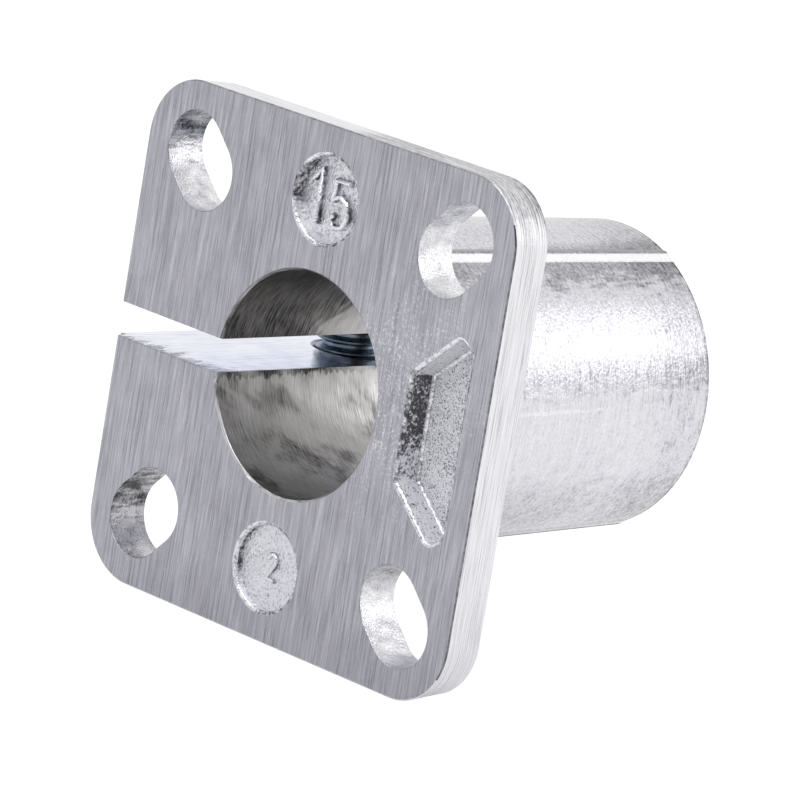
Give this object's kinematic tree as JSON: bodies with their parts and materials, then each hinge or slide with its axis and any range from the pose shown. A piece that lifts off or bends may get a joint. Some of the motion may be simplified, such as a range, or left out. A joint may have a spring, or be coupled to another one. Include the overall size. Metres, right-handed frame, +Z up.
{
  "type": "base clamp",
  "caption": "Square flange with a slit round collar behind it, closed on a tube by a cap screw, with diagonal fixing slots at the flange's corners.",
  "frame": {"origin": "centre of the bore on the mounting face of the flange", "axes": "+Y along the bore from the mounting face into the collar, +Z up along the flange on the side of the screw's head, and the slit on the -X side"},
  "size_m": [0.0353, 0.0292, 0.035],
  "materials": {
    "casting": "tumbled die casting with fine scratches",
    "screw_steel": "plain dull steel"
  },
  "bodies": {
    "clamp": {"clamp_body": "casting"},
    "screw": {"clamp_screw": "screw_steel"}
  },
  "joints": [
    {"name": "clamp_screw_turn", "type": "hinge", "parent": "clamp", "child": "screw", "pos_m": [-0.0116, 0.0165, 0], "axis": [0, 0, 1], "continuous": true}
  ]
}
